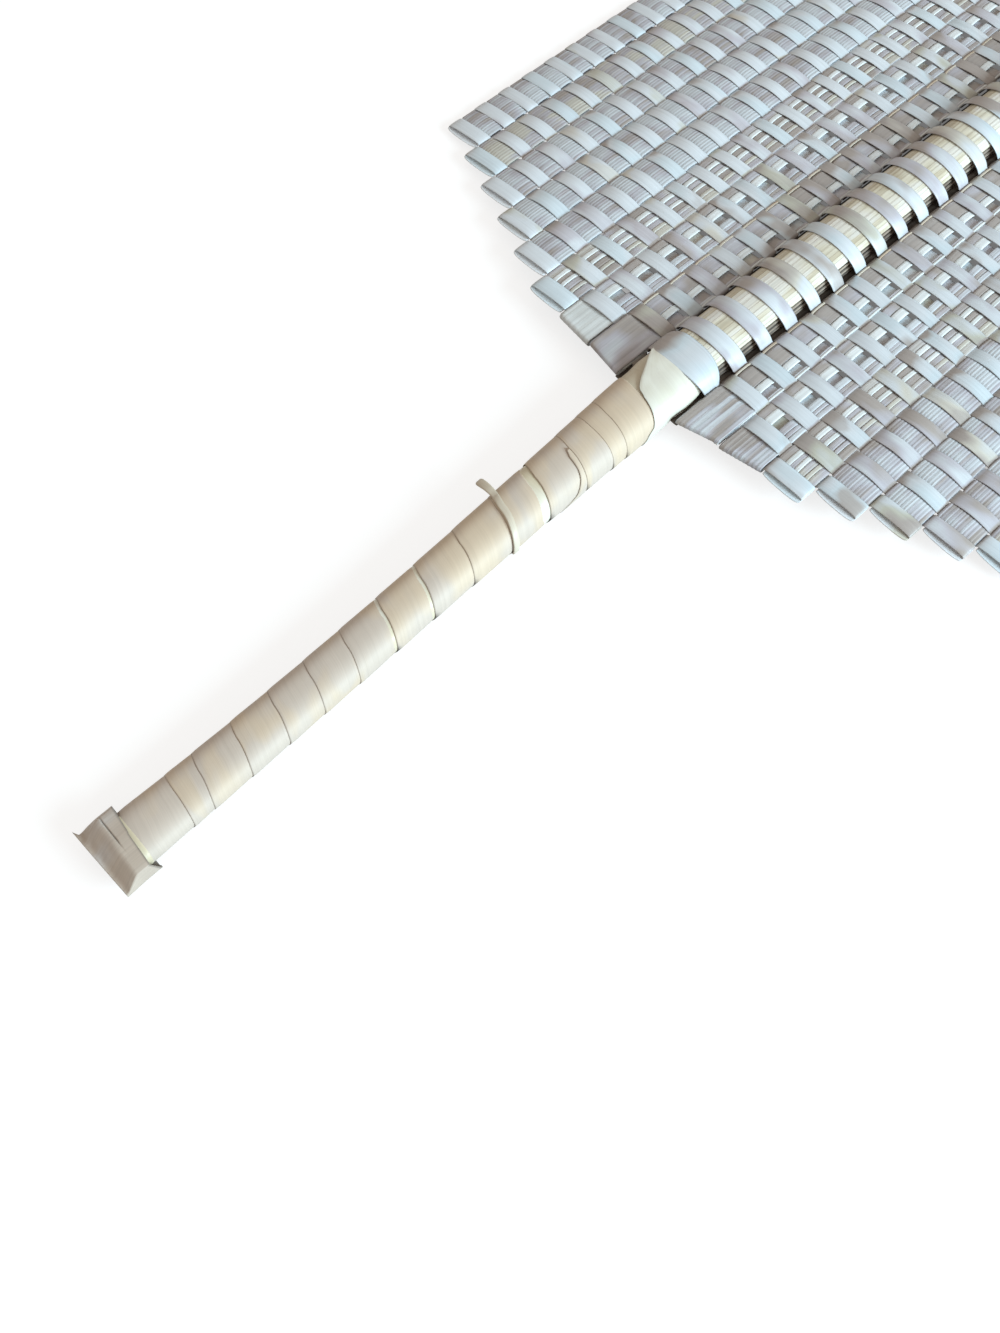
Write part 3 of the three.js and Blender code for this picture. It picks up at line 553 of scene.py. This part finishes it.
# Columns: the warp, one leaf each. Near the spine the leaf is split into slivers that stand apart
# and leave small windows; further out it is one ribbed strip. Its upper end is folded back over the
# last wefts in a hem, as are the lower ends of the two inner columns.
HEM_LEVEL, HEM_POINTS, CELL_HALF, OPEN_COLUMNS, RIBS = 1.45, 16, 5.8, 3, 12
CLOSED_HALF, CLOSED_THICKNESS, SLIVER_THICKNESS = 5.75, 0.30, 0.42
HEM_HALF, HEM_THICKNESS = 5.85, 0.26
column_finishes = {}
for slot, finish, bright in (("leaf_taupe", "taupe_warp", PALE),
                             ("leaf_pale_grey", "pale_warp", PALE),
                             ("leaf_beige", "beige_warp", BEIGE)):
    column_finishes[slot] = leaf_finish(finish, [TAUPE, LILAC, bright], veins=0.10, fineness=3.0,
                                        roughness=0.5, relief=0.4)
tan_edge = leaf_finish(
    "tan_cut_edge", [(0.46, 0.34, 0.24), (0.62, 0.49, 0.37), (0.74, 0.66, 0.55)],
    veins=0.2, fineness=4.0, roughness=0.5, relief=0.4)
# Near-white leaf for the raised slivers: partly their own pale colour, partly painted light for
# their lit faces
bright_sliver = leaf_finish(
    "bright_sliver", [(0.70, 0.71, 0.69), (0.78, 0.80, 0.79), (0.82, 0.84, 0.84)],
    veins=0.08, fineness=4.0, roughness=0.42, relief=0.3)
COLUMN_ORDER = ["leaf_taupe", "leaf_pale_grey", "leaf_beige", "leaf_pale_grey"]
# Slivers of the open columns: left and right edge from the middle, height, colour shift, and
# finish: 0 the column's own, 1 a tan cut edge, 2 bright
SLIVERS = {
    1: [(-5.8, -5.2, 0.10, 0.2, 1), (-5.2, 0.25, 0.0, -0.45, 0), (0.2, 2.35, 0.12, 0.5, 2),
        (4.6, 5.3, -0.05, -0.1, 0), (5.25, 5.85, 0.05, 0.0, 2)],
    2: [(-5.8, -3.3, 0.0, -0.35, 0), (-3.4, -0.8, 0.10, 0.5, 2), (1.3, 3.3, 0.04, 0.3, 0),
        (3.2, 4.4, -0.04, -0.2, 0), (4.3, 5.8, 0.05, 0.2, 0)],
    3: [(-5.8, -3.6, 0.0, -0.2, 0), (-3.7, -2.2, 0.08, 0.2, 2), (-2.3, -0.6, -0.05, -0.4, 0),
        (-0.7, 0.6, 0.06, 0.1, 2), (0.5, 2.5, -0.05, -0.2, 0), (2.4, 3.6, 0.05, 0.5, 0),
        (3.5, 5.8, 0.0, 0.0, 0)],
}
# Lower hems: foot of the edge and its slope, height of the ribs, the ribs' colour shifts from the
# spine outward, and finish. The pale shifts on the middle ribs of the first right hem are partly
# painted sheen along them.
HEMS = {
    ("left", 1): ((-0.5, 0.18), 0.03, [0.05, 0.0, -0.1, -0.1, 0.0], 0),
    ("right", 1): ((-0.1, 0.26), 0.07, [-0.2, -0.4, 0.0, 0.8, -0.3, 0.7, -0.2, -0.4, 0.1], 0),
    ("left", 2): ((1.2, 0.13), 0.05, [-0.2, 0.0, 0.0, 0.2, 0.2, 0.2], 2),
    ("right", 2): ((2.2, 0.19), 0.10, [-0.1, 0.1, -0.2, 0.2, 0.0, 0.3, -0.1, 0.2, 0.0, 0.1], 0),
}


def upper_hem(end, side, until):
    """Turn of a column round its upper end: a half circle from the column's plane out to the hem's
    level on one face, then the flap back along it. Returns distances along the fan and heights."""
    radius = HEM_LEVEL / 2
    turn = np.linspace(0, np.pi, 10)[1:]
    along = end - radius + radius * np.sin(turn)
    out = side * radius * (1 - np.cos(turn))
    flap = np.linspace(along[-1], until, 8)[1:]
    return np.append(along, flap), np.append(out, np.full(7, side * HEM_LEVEL))


def warp_path(column):
    """Distances along the fan and heights of a column. Between its ends it swings 0.18 mm, or 0.30
    where it is closed, away from each weft that crosses it, as twice the cosine of the row count
    times pi, cut off at one. The second column starts 0.28 mm low, inside its hem, and rises evenly
    from 2 to 6 mm above its start."""
    rows = np.flatnonzero(row_reach >= column)
    first, last = rows[0], rows[-1]
    top = row_height[last] + row_pitch[last] / 2 + 0.9
    start = {1: 1.0, 2: 3.4}.get(column, row_height[first] - row_pitch[first] / 2 + 0.9)
    radius = HEM_LEVEL / 2
    y = np.linspace(start, top - radius, 6 * len(rows))
    count = np.interp(y, row_height, np.arange(ROWS))
    swing = np.clip(2 * np.cos(np.pi * (count + column + 1)), -1, 1)
    z = -(0.18 if column <= OPEN_COLUMNS else 0.30) * swing
    z *= np.clip(np.minimum(y - start, top - radius - y) / 4, 0, 1)
    z -= 0.28 * (column == 2) * np.clip(1.5 - (y - start) / 4, 0, 1)
    side = 1 if (last + column) % 2 else -1
    over_y, over_z = upper_hem(top, side, row_height[last - 2] + row_pitch[last - 2] / 2 + 0.2)
    return np.append(y, over_y), np.append(z, over_z)


def sliver_shells(column, sign):
    """Slivers of one open column, each a ribbon along the warp path with its own width and height.
    Inner ones wander up to 0.55 mm to the side on a long sine, the outermost ones keep their place.
    The swing grows by 0.15 mm in the column's middle, and falls off with the square across."""
    y, z = (values[:-HEM_POINTS] for values in warp_path(column))
    middle = sign * column_middle(column)
    drift = dice.uniform(0, 6.28)
    shells = []
    for left, right, level, tone, finish in SLIVERS[column]:
        place, phase = (left + right) / 2, dice.uniform(0, 6.28)
        wander = (0.55 * (1 - abs(place) / CELL_HALF) * np.sin(0.06 * y + drift)
                  + 0.04 * np.sin(0.4 * y + phase))
        bulge = 0.15 * (1 - (place / CELL_HALF) ** 2) * np.clip(z / 0.18, -1, 1)
        path = np.stack([middle + place + wander, y, z + level + bulge], -1)
        grid, length, spread = ribbon(path, np.array([1.0, 0.0, 0.0]), (right - left) / 2,
                                      SLIVER_THICKNESS, min(0.05 * (right - left), 0.10),
                                      leaf_section(6))
        shells.append(shell(grid, length + 90 * phase, spread + 12 * phase,
                            tone + dice.uniform(-0.1, 0.1), 1.0, finish))
    return shells


def ribbed_section(ribs):
    """Section of a ribbed strip, once round, with each point's crest and rib number. The ribs are
    the sine's size to the power 0.6, and the edges are rounded over a thirtieth of the width."""
    across = np.linspace(-1, 1, 4 * ribs + 1)
    crest = np.abs(np.sin(np.pi * ribs * (across + 1) / 2)) ** 0.6
    lift = np.sqrt(np.clip(1 - np.abs(across) ** 30, 0, 1))
    rib = np.clip(((across + 1) / 2 * ribs).astype(int), 0, ribs - 1)
    around = np.append(np.arange(4 * ribs + 1), np.arange(4 * ribs + 1)[-2:0:-1])
    return (across[around], np.append(lift, -lift[-2:0:-1])), crest[around], rib[around]


def ribbed_shell(column, sign):
    """A closed column: one strip as wide as the cell, ribbed along its length, and thicker towards
    its middle with the square of the distance across. An open one is whole only at its top hem. Its
    grooves are darkened as painted shade, and the columns left of the spine are lightened as
    painted light."""
    first = -HEM_POINTS - 6 if column <= OPEN_COLUMNS else 0
    y, z = (values[first:] for values in warp_path(column))
    section, crest, rib = ribbed_section(RIBS)
    path = np.stack([np.full(len(y), sign * column_middle(column)), y, z], -1)
    across, lift = section
    body = 0.60 * np.sign(lift) * (1 - across ** 2)
    grid, length, spread = ribbon(path, np.array([1.0, 0.0, 0.0]), CLOSED_HALF, CLOSED_THICKNESS,
                                  0.0, section, body + 0.10 * np.sign(lift) * (crest - 0.7))
    tone = dice.uniform(-0.25, 0.35, RIBS)[rib] + (0.2 if sign < 0 else 0.0)
    return shell(grid, length + 170 * column, spread + 60 * column, tone, 0.80 + 0.20 * crest)


def hem_shell(column, sign, edge, relief, tones, finish):
    """Hem at the lower end of the two inner columns: it comes out from under the first front band,
    lies flat to the lower edge, turns round it in a half circle and ends behind. The edge runs out
    at a slope, which fades with the distance back to the band. Its grooves are darkened as painted
    shade, by up to 0.3."""
    tuck, front, behind = ((row_height[2], 0.95, -0.45) if column == 1 else
                           (row_height[1], 0.42, -1.35))
    radius, centre = (front - behind) / 2, (front + behind) / 2
    turn = np.linspace(0, np.pi, 14)[1:-1]
    end = edge[0] + radius
    reach = row_height[1] - 2 if column == 1 else row_height[1] + 4
    y = np.concatenate([np.linspace(tuck, tuck - 4, 6), np.linspace(tuck - 4.6, end, 8),
                        end - radius * np.sin(turn), np.linspace(end, reach, 8)])
    z = np.concatenate([np.interp(np.linspace(0, 4, 6), [0, 2.8, 4], [0.2, 0.26, front]),
                        np.full(8, front), centre + radius * np.cos(turn), np.full(8, behind)])
    section, crest, rib = ribbed_section(len(tones))
    middle = column_middle(column)
    path = np.stack([np.full(len(y), sign * middle), y, z], -1)
    grid, length, spread = ribbon(path, np.array([-1.0, 0.0, 0.0]), HEM_HALF, HEM_THICKNESS, 0.0,
                                  section, relief * (crest - 0.7))
    near = np.clip((tuck - y) / (tuck - end), 0, 1)[:, None]
    grid[:, :, 1] += edge[1] * (sign * grid[:, :, 0] - middle) * near
    return shell(grid, length, spread, np.asarray(tones)[::-sign][rib],
                 1 - min(2 * relief, 0.3) * (1 - crest), finish)


for column in range(1, 9):
    for sign, side in ((-1, "left"), (1, "right")):
        slot = COLUMN_ORDER[(column - 1) % 4]
        shells = sliver_shells(column, sign) if column <= OPEN_COLUMNS else []
        shells.append(ribbed_shell(column, sign))
        if (side, column) in HEMS:
            shells.append(hem_shell(column, sign, *HEMS[side, column]))
        finishes = [column_finishes[slot], tan_edge, bright_sliver]
        leaf_piece(f"warp_{side}_{column}", shells, finishes, [f"column_{side}_{column}"])

# Handle winding: one long leaf strip wound round the stick from the butt up, over a lining of
# paler leaf. Each turn laps over the upper edge of the one below; where it doesn't reach, the
# lining shows. A second strip fills a split in one turn, and a dark end lies beside the butt cap.
WRAP_STEPS, LAP, WRAP_FOOT = 48, 1.2, -167.4
# Heights of the seams on the right flank, and how far the turn below three of them stops short
SEAMS = np.array([-172.0, -168.5, -152.9, -147.3, -136.5, -125.6, -115.2, -104.5, -93.0, -81.1,
                  -68.4, -55.8, -43.0, -30.6, -21.6, -16.9, -8.6, -2.0])
GAPS = {7: 0.42, 8: 0.42, 11: 2.3}


def seam_height(turns):
    """Height of the winding's lower edge: from seam to seam it climbs by 0.36 of the way in the
    front half of a turn and by the rest behind, each half a raised cosine, level at the flanks."""
    whole = np.floor(turns)
    part = turns - whole
    wave = np.cos(2 * np.pi * part)
    climb = np.where(part < 0.5, 0.18 * (1 - wave), 0.36 + 0.32 * (1 + wave))
    index = (whole + 1).astype(int)
    return SEAMS[index] + (SEAMS[index + 1] - SEAMS[index]) * climb


def wound_shell(turns, lower, upper, base_low, base_high, thickness, tone, columns=10, lift_shade=0.0,
                finish=0):
    """Strip wound round the stick: its outset runs evenly from one value at the lower edge to
    another at the upper one, and it is thinned towards them with the power 10 of the distance
    across. A bell curve darkens the lower edge as painted shade under the step of the lap, wider
    and darker by the lift shade, painted shadow where the edge stands out."""
    share = (1 - np.cos(np.linspace(0, np.pi, columns))) / 2
    y = lower[:, None] + (upper - lower)[:, None] * share
    base = np.reshape(base_low, (-1, 1)) * (1 - share) + np.reshape(base_high, (-1, 1)) * share
    body = thickness * np.clip(1 - (2 * share - 1) ** 10, 0.3, 1)
    angle = np.broadcast_to((turns * 360)[:, None], y.shape)
    outer = around_stick(y, angle, base + body)
    inner = around_stick(y[:, ::-1], angle, np.broadcast_to(base, y.shape)[:, ::-1])
    grid = np.concatenate([outer, inner], axis=1)[:, ::-1]
    middle = outer[:, columns // 2]
    length = np.append(0, np.cumsum(np.linalg.norm(np.diff(middle, axis=0), axis=1)))
    width = float(np.mean(upper - lower))
    across = np.concatenate([share * width, 20 + share[::-1] * width, [20]])[::-1]
    lift_shade = np.reshape(lift_shade, (-1, 1))
    shade = 1 - (0.28 + lift_shade) * np.exp(-(share * width / (0.2 + lift_shade)) ** 2)
    both_faces = np.concatenate([shade, shade[:, ::-1]], axis=1)[:, ::-1]
    return shell(grid, length, across, tone, both_faces, finish)


wrap_leaf = leaf_finish(
    "wound_leaf", [(0.70, 0.565, 0.42), (0.69, 0.565, 0.435), (0.65, 0.555, 0.47)],
    veins=0.045, fineness=4.0, roughness=0.60, relief=0.12)
lining_leaf = leaf_finish(
    "lining_leaf", [(0.72, 0.62, 0.44), (0.78, 0.71, 0.54), (0.82, 0.78, 0.66)],
    veins=0.05, fineness=3.0, roughness=0.42, relief=0.2)
# The upper edge lies a lap above the next seam, 1.8 mm more in the last turn, under the neck
# binding, and below the seam in front where the turn stops short
turns = np.arange(int(15.85 * WRAP_STEPS)) / WRAP_STEPS - 0.9
lower = np.maximum(WRAP_FOOT, seam_height(turns))
above = turns + 1
front_half = np.clip(4 * (0.31 - np.abs((above - np.floor(above + 0.3)) - 0.2)) + 0.5, 0, 1)
short = np.array([GAPS.get(int(number), 0.0) for number in np.floor(above + 0.3)])
upper = (seam_height(np.minimum(above, 15.6)) + LAP + 1.8 * np.clip(turns - 13.5, 0, 1)
         - (LAP + short) * front_half * (short > 0))
# On the right flank each lower edge stands out 0.14 mm, as a bell curve of the turn, and higher up
# the handle it is darkened there as painted shadow under the lifted edge
hook = np.exp(-(((turns + 0.03 + 0.5) % 1 - 0.5) / 0.035) ** 2)
# The tone runs from the butt to the neck, and on the right flank, which faces the lamp, it is
# pushed towards the greyer third colour: painted shade on the lit side
wrap_tone = (np.linspace(0.45, -0.35, len(turns))
             + 0.3 * np.clip(np.cos(2 * np.pi * turns), 0, 1) ** 2)
winding = wound_shell(turns, lower, upper, base_low=1.44 + 0.14 * hook, base_high=1.28,
                      thickness=0.16, tone=wrap_tone[:, None], lift_shade=0.6 * hook * (turns > 6.5))
lining = wound_shell(np.linspace(-0.27, 0.72, 80), np.full(80, -112.0), np.full(80, -36.0),
                     base_low=1.06, base_high=1.06, thickness=0.3, tone=0.25, columns=40, finish=1)
split_angle = np.linspace(-22, 94, 40)
split_low = np.interp(split_angle, [-22, -20, 1, 32, 56, 86, 94],
                      [-39.5, -39.1, -33.9, -32.3, -31.4, -30.7, -29.6])
split_high = seam_height(12 + split_angle / 360) - 0.1
split = wound_shell(split_angle / 360, np.minimum(split_low, split_high - 0.2), split_high,
                    base_low=1.64, base_high=1.50, thickness=0.2, tone=0.35)
start_angle = np.linspace(-40, 130, 40)
start = wound_shell(start_angle / 360, np.full(40, -167.0), -164.2 + 0.004 * start_angle,
                    base_low=1.62, base_high=1.62, thickness=0.12, tone=-0.6, finish=1)
leaf_piece("handle_winding", [winding, lining, split, start], [wrap_leaf, lining_leaf],
           ["handle_wrap"])

# Neck binding: a wide leaf strip that locks the blade to the handle. It comes round from behind
# and runs out under the lowest strap, over a darker layer that shows at the upper left.
binding_leaf = leaf_finish(
    "binding_leaf", [(0.66, 0.58, 0.44), (0.76, 0.72, 0.60), (0.80, 0.77, 0.67)],
    veins=0.03, fineness=3.0, roughness=0.42, relief=0.15)
# The sheet's lower edge: angles round the stick and heights, joined by straight lines
EDGE_ANGLE = np.array([-180, -120, -60, -16, 0, 12, 58, 80, 90, 97, 107, 117, 128, 138])
EDGE_HEIGHT = np.array([-13.4, -12.2, -11.4, -10.4, -9.4, -7.6, -6.0, -5.2, -4.4, -2.6, 0.2, 3.2,
                        5.6, 7.7])
angle = np.linspace(-180, 138, 160)
lower = np.interp(angle, EDGE_ANGLE, EDGE_HEIGHT)
upper = np.minimum(9.6, 1.4 + np.clip(angle + 20, 0, 180) * 0.35)
sheet = wound_shell(angle / 360, lower, upper, base_low=1.62, base_high=0.72, thickness=0.24,
                    tone=0.35, columns=24)
under = wound_shell(np.linspace(70, 300, 80) / 360, np.full(80, -7.5), np.full(80, 9.0),
                    base_low=1.1, base_high=0.62, thickness=0.16, tone=-0.9, columns=16)
leaf_piece("neck_binding_leaf", [sheet, under], [binding_leaf], ["neck_binding"])

# Tie: a narrow strip of leaf wound once round the handle to hold the winding down. It is slanted
# like the turns, as a cosine of the angle, and its thick end stands out on the left.
tie_leaf = leaf_finish(
    "tie_leaf", [(0.63, 0.54, 0.42), (0.72, 0.63, 0.50), (0.76, 0.70, 0.58)],
    veins=0.06, fineness=3.0, roughness=0.45, relief=0.2)
TIE_Y, TIE_SLANT, TIE_OUTSET, TIE_THICKNESS = -52.2, 2.7, 1.9, 0.55
angle = np.linspace(122, -170, 70)
ring_path = around_stick(TIE_Y - TIE_SLANT * np.cos(np.radians(angle)), angle, TIE_OUTSET)
free_end = ring_path[0] + np.array([(-6.3, 0.5, -1.3), (-5.9, 0.5, -1.1), (-4.6, 0.4, -0.6),
                                    (-3.0, 0.3, -0.15), (-1.5, 0.15, 0.02)])
path = np.concatenate([free_end, ring_path])
half = np.concatenate([[0.95, 1.2, 1.2, 1.1, 1.0], np.full(70, 0.95)])
grid, length, spread = ribbon(path, np.array([0.0, 1.0, 0.0]), half, TIE_THICKNESS, 0.0,
                              leaf_section(8))
leaf_piece("tie_strip", [shell(grid, length, spread, 0.1)], [tie_leaf],
           ["handle_tie"])

# Butt cap: a piece of leaf folded over the end of the handle, open towards the winding, pinched
# flat beyond the stick and tucked in on its right side. A slit runs across its left half.
cap_leaf = leaf_finish(
    "cap_leaf", [(0.58, 0.485, 0.40), (0.62, 0.535, 0.46), (0.66, 0.605, 0.56)],
    veins=0.07, fineness=4.0, roughness=0.5, relief=0.2)
# Corners of the cap's section at its rim and its end, from the left fold over the top to the right
# fold and back underneath, and the rim's height at each
RIM = np.array([(-9.0, 0.6), (-7.2, 3.6), (0.0, 4.25), (8.8, 3.9), (9.1, -0.8), (7.4, -4.1),
                (0.0, -4.3), (-6.7, -4.0)])
RIM_Y = np.array([-163.3, -163.6, -164.7, -165.7, -163.6, -163.6, -163.4, -163.3, -163.3])
END = np.array([(-8.7, 0.1), (-6.0, 0.9), (0.0, 1.3), (9.7, 1.3), (9.9, 0.5), (8.6, -0.9),
                (0.0, -1.3), (-6.0, -1.1)])
EDGE_SHARES = np.array([0.03, 0.2, 0.4, 0.6, 0.8, 0.97])
LINED_ROWS, SLIT_Y = 24, -167.4


def fold_ring(corners):
    """Points along the straight folds between the corners, close to each corner on both sides."""
    following = np.roll(corners, -1, axis=0)
    return (corners[:, None] + (following - corners)[:, None] * EDGE_SHARES[:, None]).reshape(-1, 2)


# From the rim to the end the section blends from one ring of corners to the other on a smooth
# step, and the left fold is drawn out in a spike over the last part
share = np.linspace(0, 1, 64)[:, None]
flatten = np.clip((share - 0.40) / 0.6, 0, 1)
flatten = (flatten ** 2 * (3 - 2 * flatten))[..., None]
outline = fold_ring(RIM) * (1 - flatten) + fold_ring(END) * flatten
place = np.arange(outline.shape[1]) / len(EDGE_SHARES)
cap_y = np.interp(place, np.arange(9), RIM_Y) * (1 - share) - HANDLE_LENGTH * share
spike = (1.6 * np.clip(1 - np.minimum(place, 8 - place) / 0.5, 0, 1)
         * np.clip((share - 0.93) / 0.07, 0, 1))
x, z = outline[..., 0] - spike, outline[..., 1]
# The slit is a groove with a bell-shaped section that runs out towards the middle. The crumples
# are the product of two sines and grow towards the end.
slit = (np.exp(-((cap_y - SLIT_Y + 0.04 * x) / 0.12) ** 2) * np.clip(1 - x / 2, 0, 1)
        * np.clip((x + 7.4) / 0.8, 0, 1) * (z > 0.5))
crumple = (0.16 * np.sin(2.2 * cap_y + 0.9 * x) * np.sin(0.8 * x + 1.3)
           * np.clip((share - 0.5) * 3, 0, 1) * np.sign(z))
outer = np.stack([x, cap_y, z - 0.3 * slit + crumple], -1)
inner = outer[:LINED_ROWS][::-1] * np.array([0.95, 1.0, 0.92])
grid = np.concatenate([inner, outer])
# Painted shade: the lining inside the cap is darkened to half, the slit by up to three quarters and
# the rim's edge by half, where shade falls in the opening and the groove
rim_painted_shade = np.exp(-((cap_y - cap_y[0]) / 0.3) ** 2)
cap_painted_shade = np.concatenate([np.full((LINED_ROWS, outline.shape[1]), 0.5),
                          1 - 0.75 * slit - 0.5 * rim_painted_shade])
around = np.append(0, np.cumsum(np.linalg.norm(np.diff(fold_ring(RIM), axis=0), axis=1)))
fold = shell(grid, np.arange(len(grid)) * 0.16, np.append(around, around[-1] + 1), 0.0, cap_painted_shade)
leaf_piece("cap_fold", [fold], [cap_leaf], ["butt_cap"])
